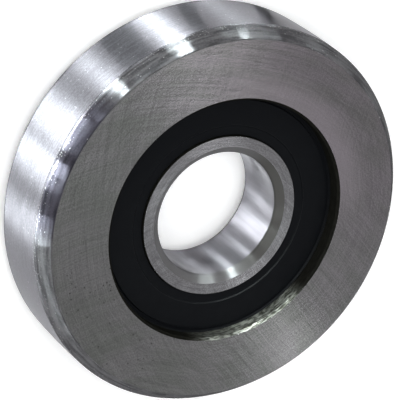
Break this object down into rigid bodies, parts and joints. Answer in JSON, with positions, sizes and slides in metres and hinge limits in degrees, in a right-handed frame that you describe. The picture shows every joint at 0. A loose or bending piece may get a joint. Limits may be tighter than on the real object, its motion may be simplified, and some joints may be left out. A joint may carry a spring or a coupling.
{
  "type": "forklift mast roller",
  "caption": "Sealed ball bearing roller with a thick outer ring that is the rolling wheel, chamfered corners, a recessed inner ring and a plain bore.",
  "frame": {"origin": "middle of the rear side face of the outer ring, on the roller's axis, where it rests", "axes": "+Z along the roller's axis from the rear side face to the front side face; X and Y are radial, with +X through the first ball"},
  "size_m": [0.123, 0.123, 0.032],
  "materials": {
    "tread_steel": "satin",
    "ring_steel": "satin",
    "seal_rubber": "satin",
    "seal_steel": "satin",
    "cage_steel": "satin",
    "ball_steel": "polished",
    "rivet_steel": "satin"
  },
  "bodies": {
    "inner_ring": {"inner_ring": "ring_steel"},
    "outer_ring": {"outer_ring": "tread_steel", "front_seal_rubber": "seal_rubber", "rear_seal_rubber": "seal_rubber", "front_seal_insert": "seal_steel", "rear_seal_insert": "seal_steel"},
    "cage": {"front_cage_half": "cage_steel", "rear_cage_half": "cage_steel", "cage_rivet_1": "rivet_steel", "cage_rivet_2": "rivet_steel", "cage_rivet_3": "rivet_steel", "cage_rivet_4": "rivet_steel", "cage_rivet_5": "rivet_steel", "cage_rivet_6": "rivet_steel", "cage_rivet_7": "rivet_steel", "cage_rivet_8": "rivet_steel"},
    "ball_1": {"ball_1": "ball_steel"},
    "ball_2": {"ball_2": "ball_steel"},
    "ball_3": {"ball_3": "ball_steel"},
    "ball_4": {"ball_4": "ball_steel"},
    "ball_5": {"ball_5": "ball_steel"},
    "ball_6": {"ball_6": "ball_steel"},
    "ball_7": {"ball_7": "ball_steel"},
    "ball_8": {"ball_8": "ball_steel"}
  },
  "joints": [
    {"name": "outer_spin", "type": "hinge", "parent": "inner_ring", "child": "outer_ring", "pos_m": [0, 0, 0.016], "axis": [0, 0, 1], "continuous": true},
    {"name": "cage_orbit", "type": "hinge", "parent": "inner_ring", "child": "cage", "pos_m": [0, 0, 0.016], "axis": [0, 0, 1], "continuous": true},
    {"name": "ball_1_spin", "type": "hinge", "parent": "cage", "child": "ball_1", "pos_m": [0.0325, 0, 0.016], "axis": [0, 0, 1], "continuous": true},
    {"name": "ball_2_spin", "type": "hinge", "parent": "cage", "child": "ball_2", "pos_m": [0.02298, 0.02298, 0.016], "axis": [0, 0, 1], "continuous": true},
    {"name": "ball_3_spin", "type": "hinge", "parent": "cage", "child": "ball_3", "pos_m": [0, 0.0325, 0.016], "axis": [0, 0, 1], "continuous": true},
    {"name": "ball_4_spin", "type": "hinge", "parent": "cage", "child": "ball_4", "pos_m": [-0.02298, 0.02298, 0.016], "axis": [0, 0, 1], "continuous": true},
    {"name": "ball_5_spin", "type": "hinge", "parent": "cage", "child": "ball_5", "pos_m": [-0.0325, 0, 0.016], "axis": [0, 0, 1], "continuous": true},
    {"name": "ball_6_spin", "type": "hinge", "parent": "cage", "child": "ball_6", "pos_m": [-0.02298, -0.02298, 0.016], "axis": [0, 0, 1], "continuous": true},
    {"name": "ball_7_spin", "type": "hinge", "parent": "cage", "child": "ball_7", "pos_m": [0, -0.0325, 0.016], "axis": [0, 0, 1], "continuous": true},
    {"name": "ball_8_spin", "type": "hinge", "parent": "cage", "child": "ball_8", "pos_m": [0.02298, -0.02298, 0.016], "axis": [0, 0, 1], "continuous": true}
  ],
  "couplings": [
    {"joint": "cage_orbit", "follows": "outer_spin", "ratio": 0.61601},
    {"joint": "ball_1_spin", "follows": "outer_spin", "ratio": 2.039},
    {"joint": "ball_2_spin", "follows": "outer_spin", "ratio": 2.039},
    {"joint": "ball_3_spin", "follows": "outer_spin", "ratio": 2.039},
    {"joint": "ball_4_spin", "follows": "outer_spin", "ratio": 2.039},
    {"joint": "ball_5_spin", "follows": "outer_spin", "ratio": 2.039},
    {"joint": "ball_6_spin", "follows": "outer_spin", "ratio": 2.039},
    {"joint": "ball_7_spin", "follows": "outer_spin", "ratio": 2.039},
    {"joint": "ball_8_spin", "follows": "outer_spin", "ratio": 2.039}
  ]
}
